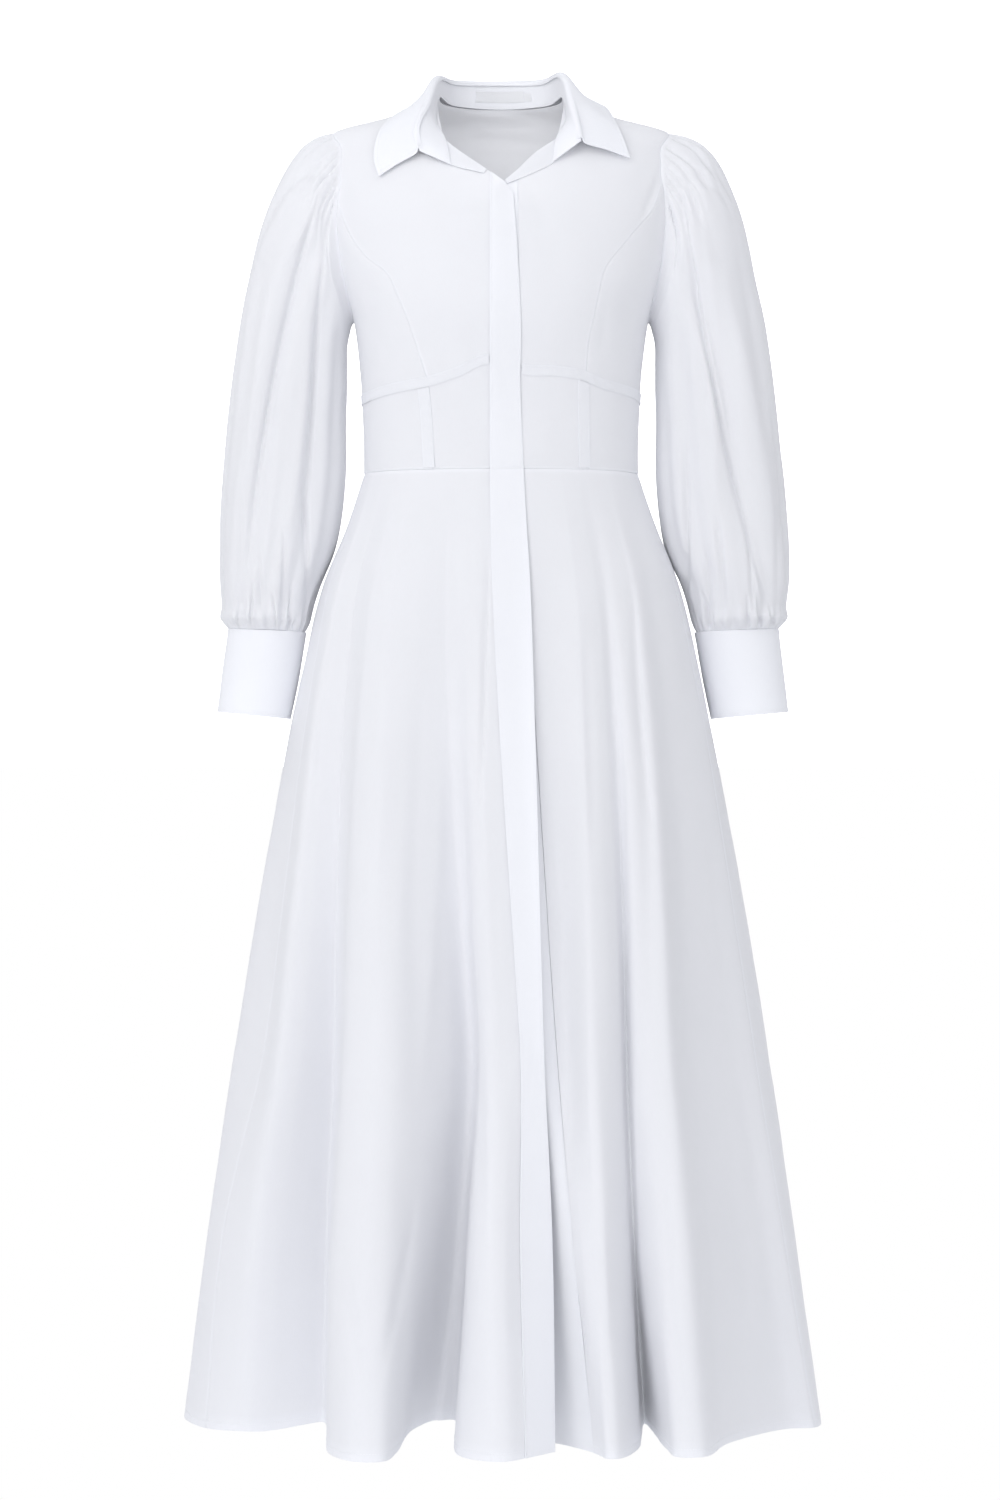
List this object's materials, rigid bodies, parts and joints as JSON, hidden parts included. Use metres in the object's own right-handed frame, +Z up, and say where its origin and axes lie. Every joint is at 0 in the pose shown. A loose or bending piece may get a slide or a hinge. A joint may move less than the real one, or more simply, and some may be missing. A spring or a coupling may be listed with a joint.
{
  "type": "shirt dress",
  "caption": "A long-sleeved shirt dress with a turned-down collar, a fly front, a fitted midriff under an underbust tape, and a full skirt in deep folds.",
  "frame": {"origin": "middle of the shoulder line, level with the highest point of the shoulder seams less 10 mm", "axes": "+Z is up along the body, -Y is the front of the dress, -X is the wearer's right"},
  "size_m": [0.6344, 0.573, 1.3474],
  "materials": {
    "cloth": "matt white cotton poplin in one layer",
    "band": "matt white cotton poplin in two interfaced layers",
    "label": "blank woven white satin"
  },
  "bodies": {
    "root": {"front_centre_right": "cloth", "front_side_right": "cloth", "front_centre_left": "cloth", "front_side_left": "cloth", "back_bodice": "cloth", "midriff_centre_right": "cloth", "midriff_centre_left": "cloth", "midriff_side_right": "cloth", "midriff_side_left": "cloth", "midriff_back": "cloth", "skirt_front_left": "cloth", "skirt_back": "cloth", "skirt_front_right": "cloth", "sleeve_right": "cloth", "sleeve_left": "cloth", "underbust_tape_right": "band", "underbust_tape_left": "band", "underbust_tape_back": "band", "bone_channel_right": "band", "bone_channel_left": "band", "placket_overlap": "band", "placket_underlap": "band", "neck_facing_right": "band", "neck_facing_left": "band", "collar_stand": "band", "collar_fall": "band", "cuff_right": "band", "cuff_left": "band", "neck_label": "label", "size_tab": "label"}
  },
  "joints": []
}
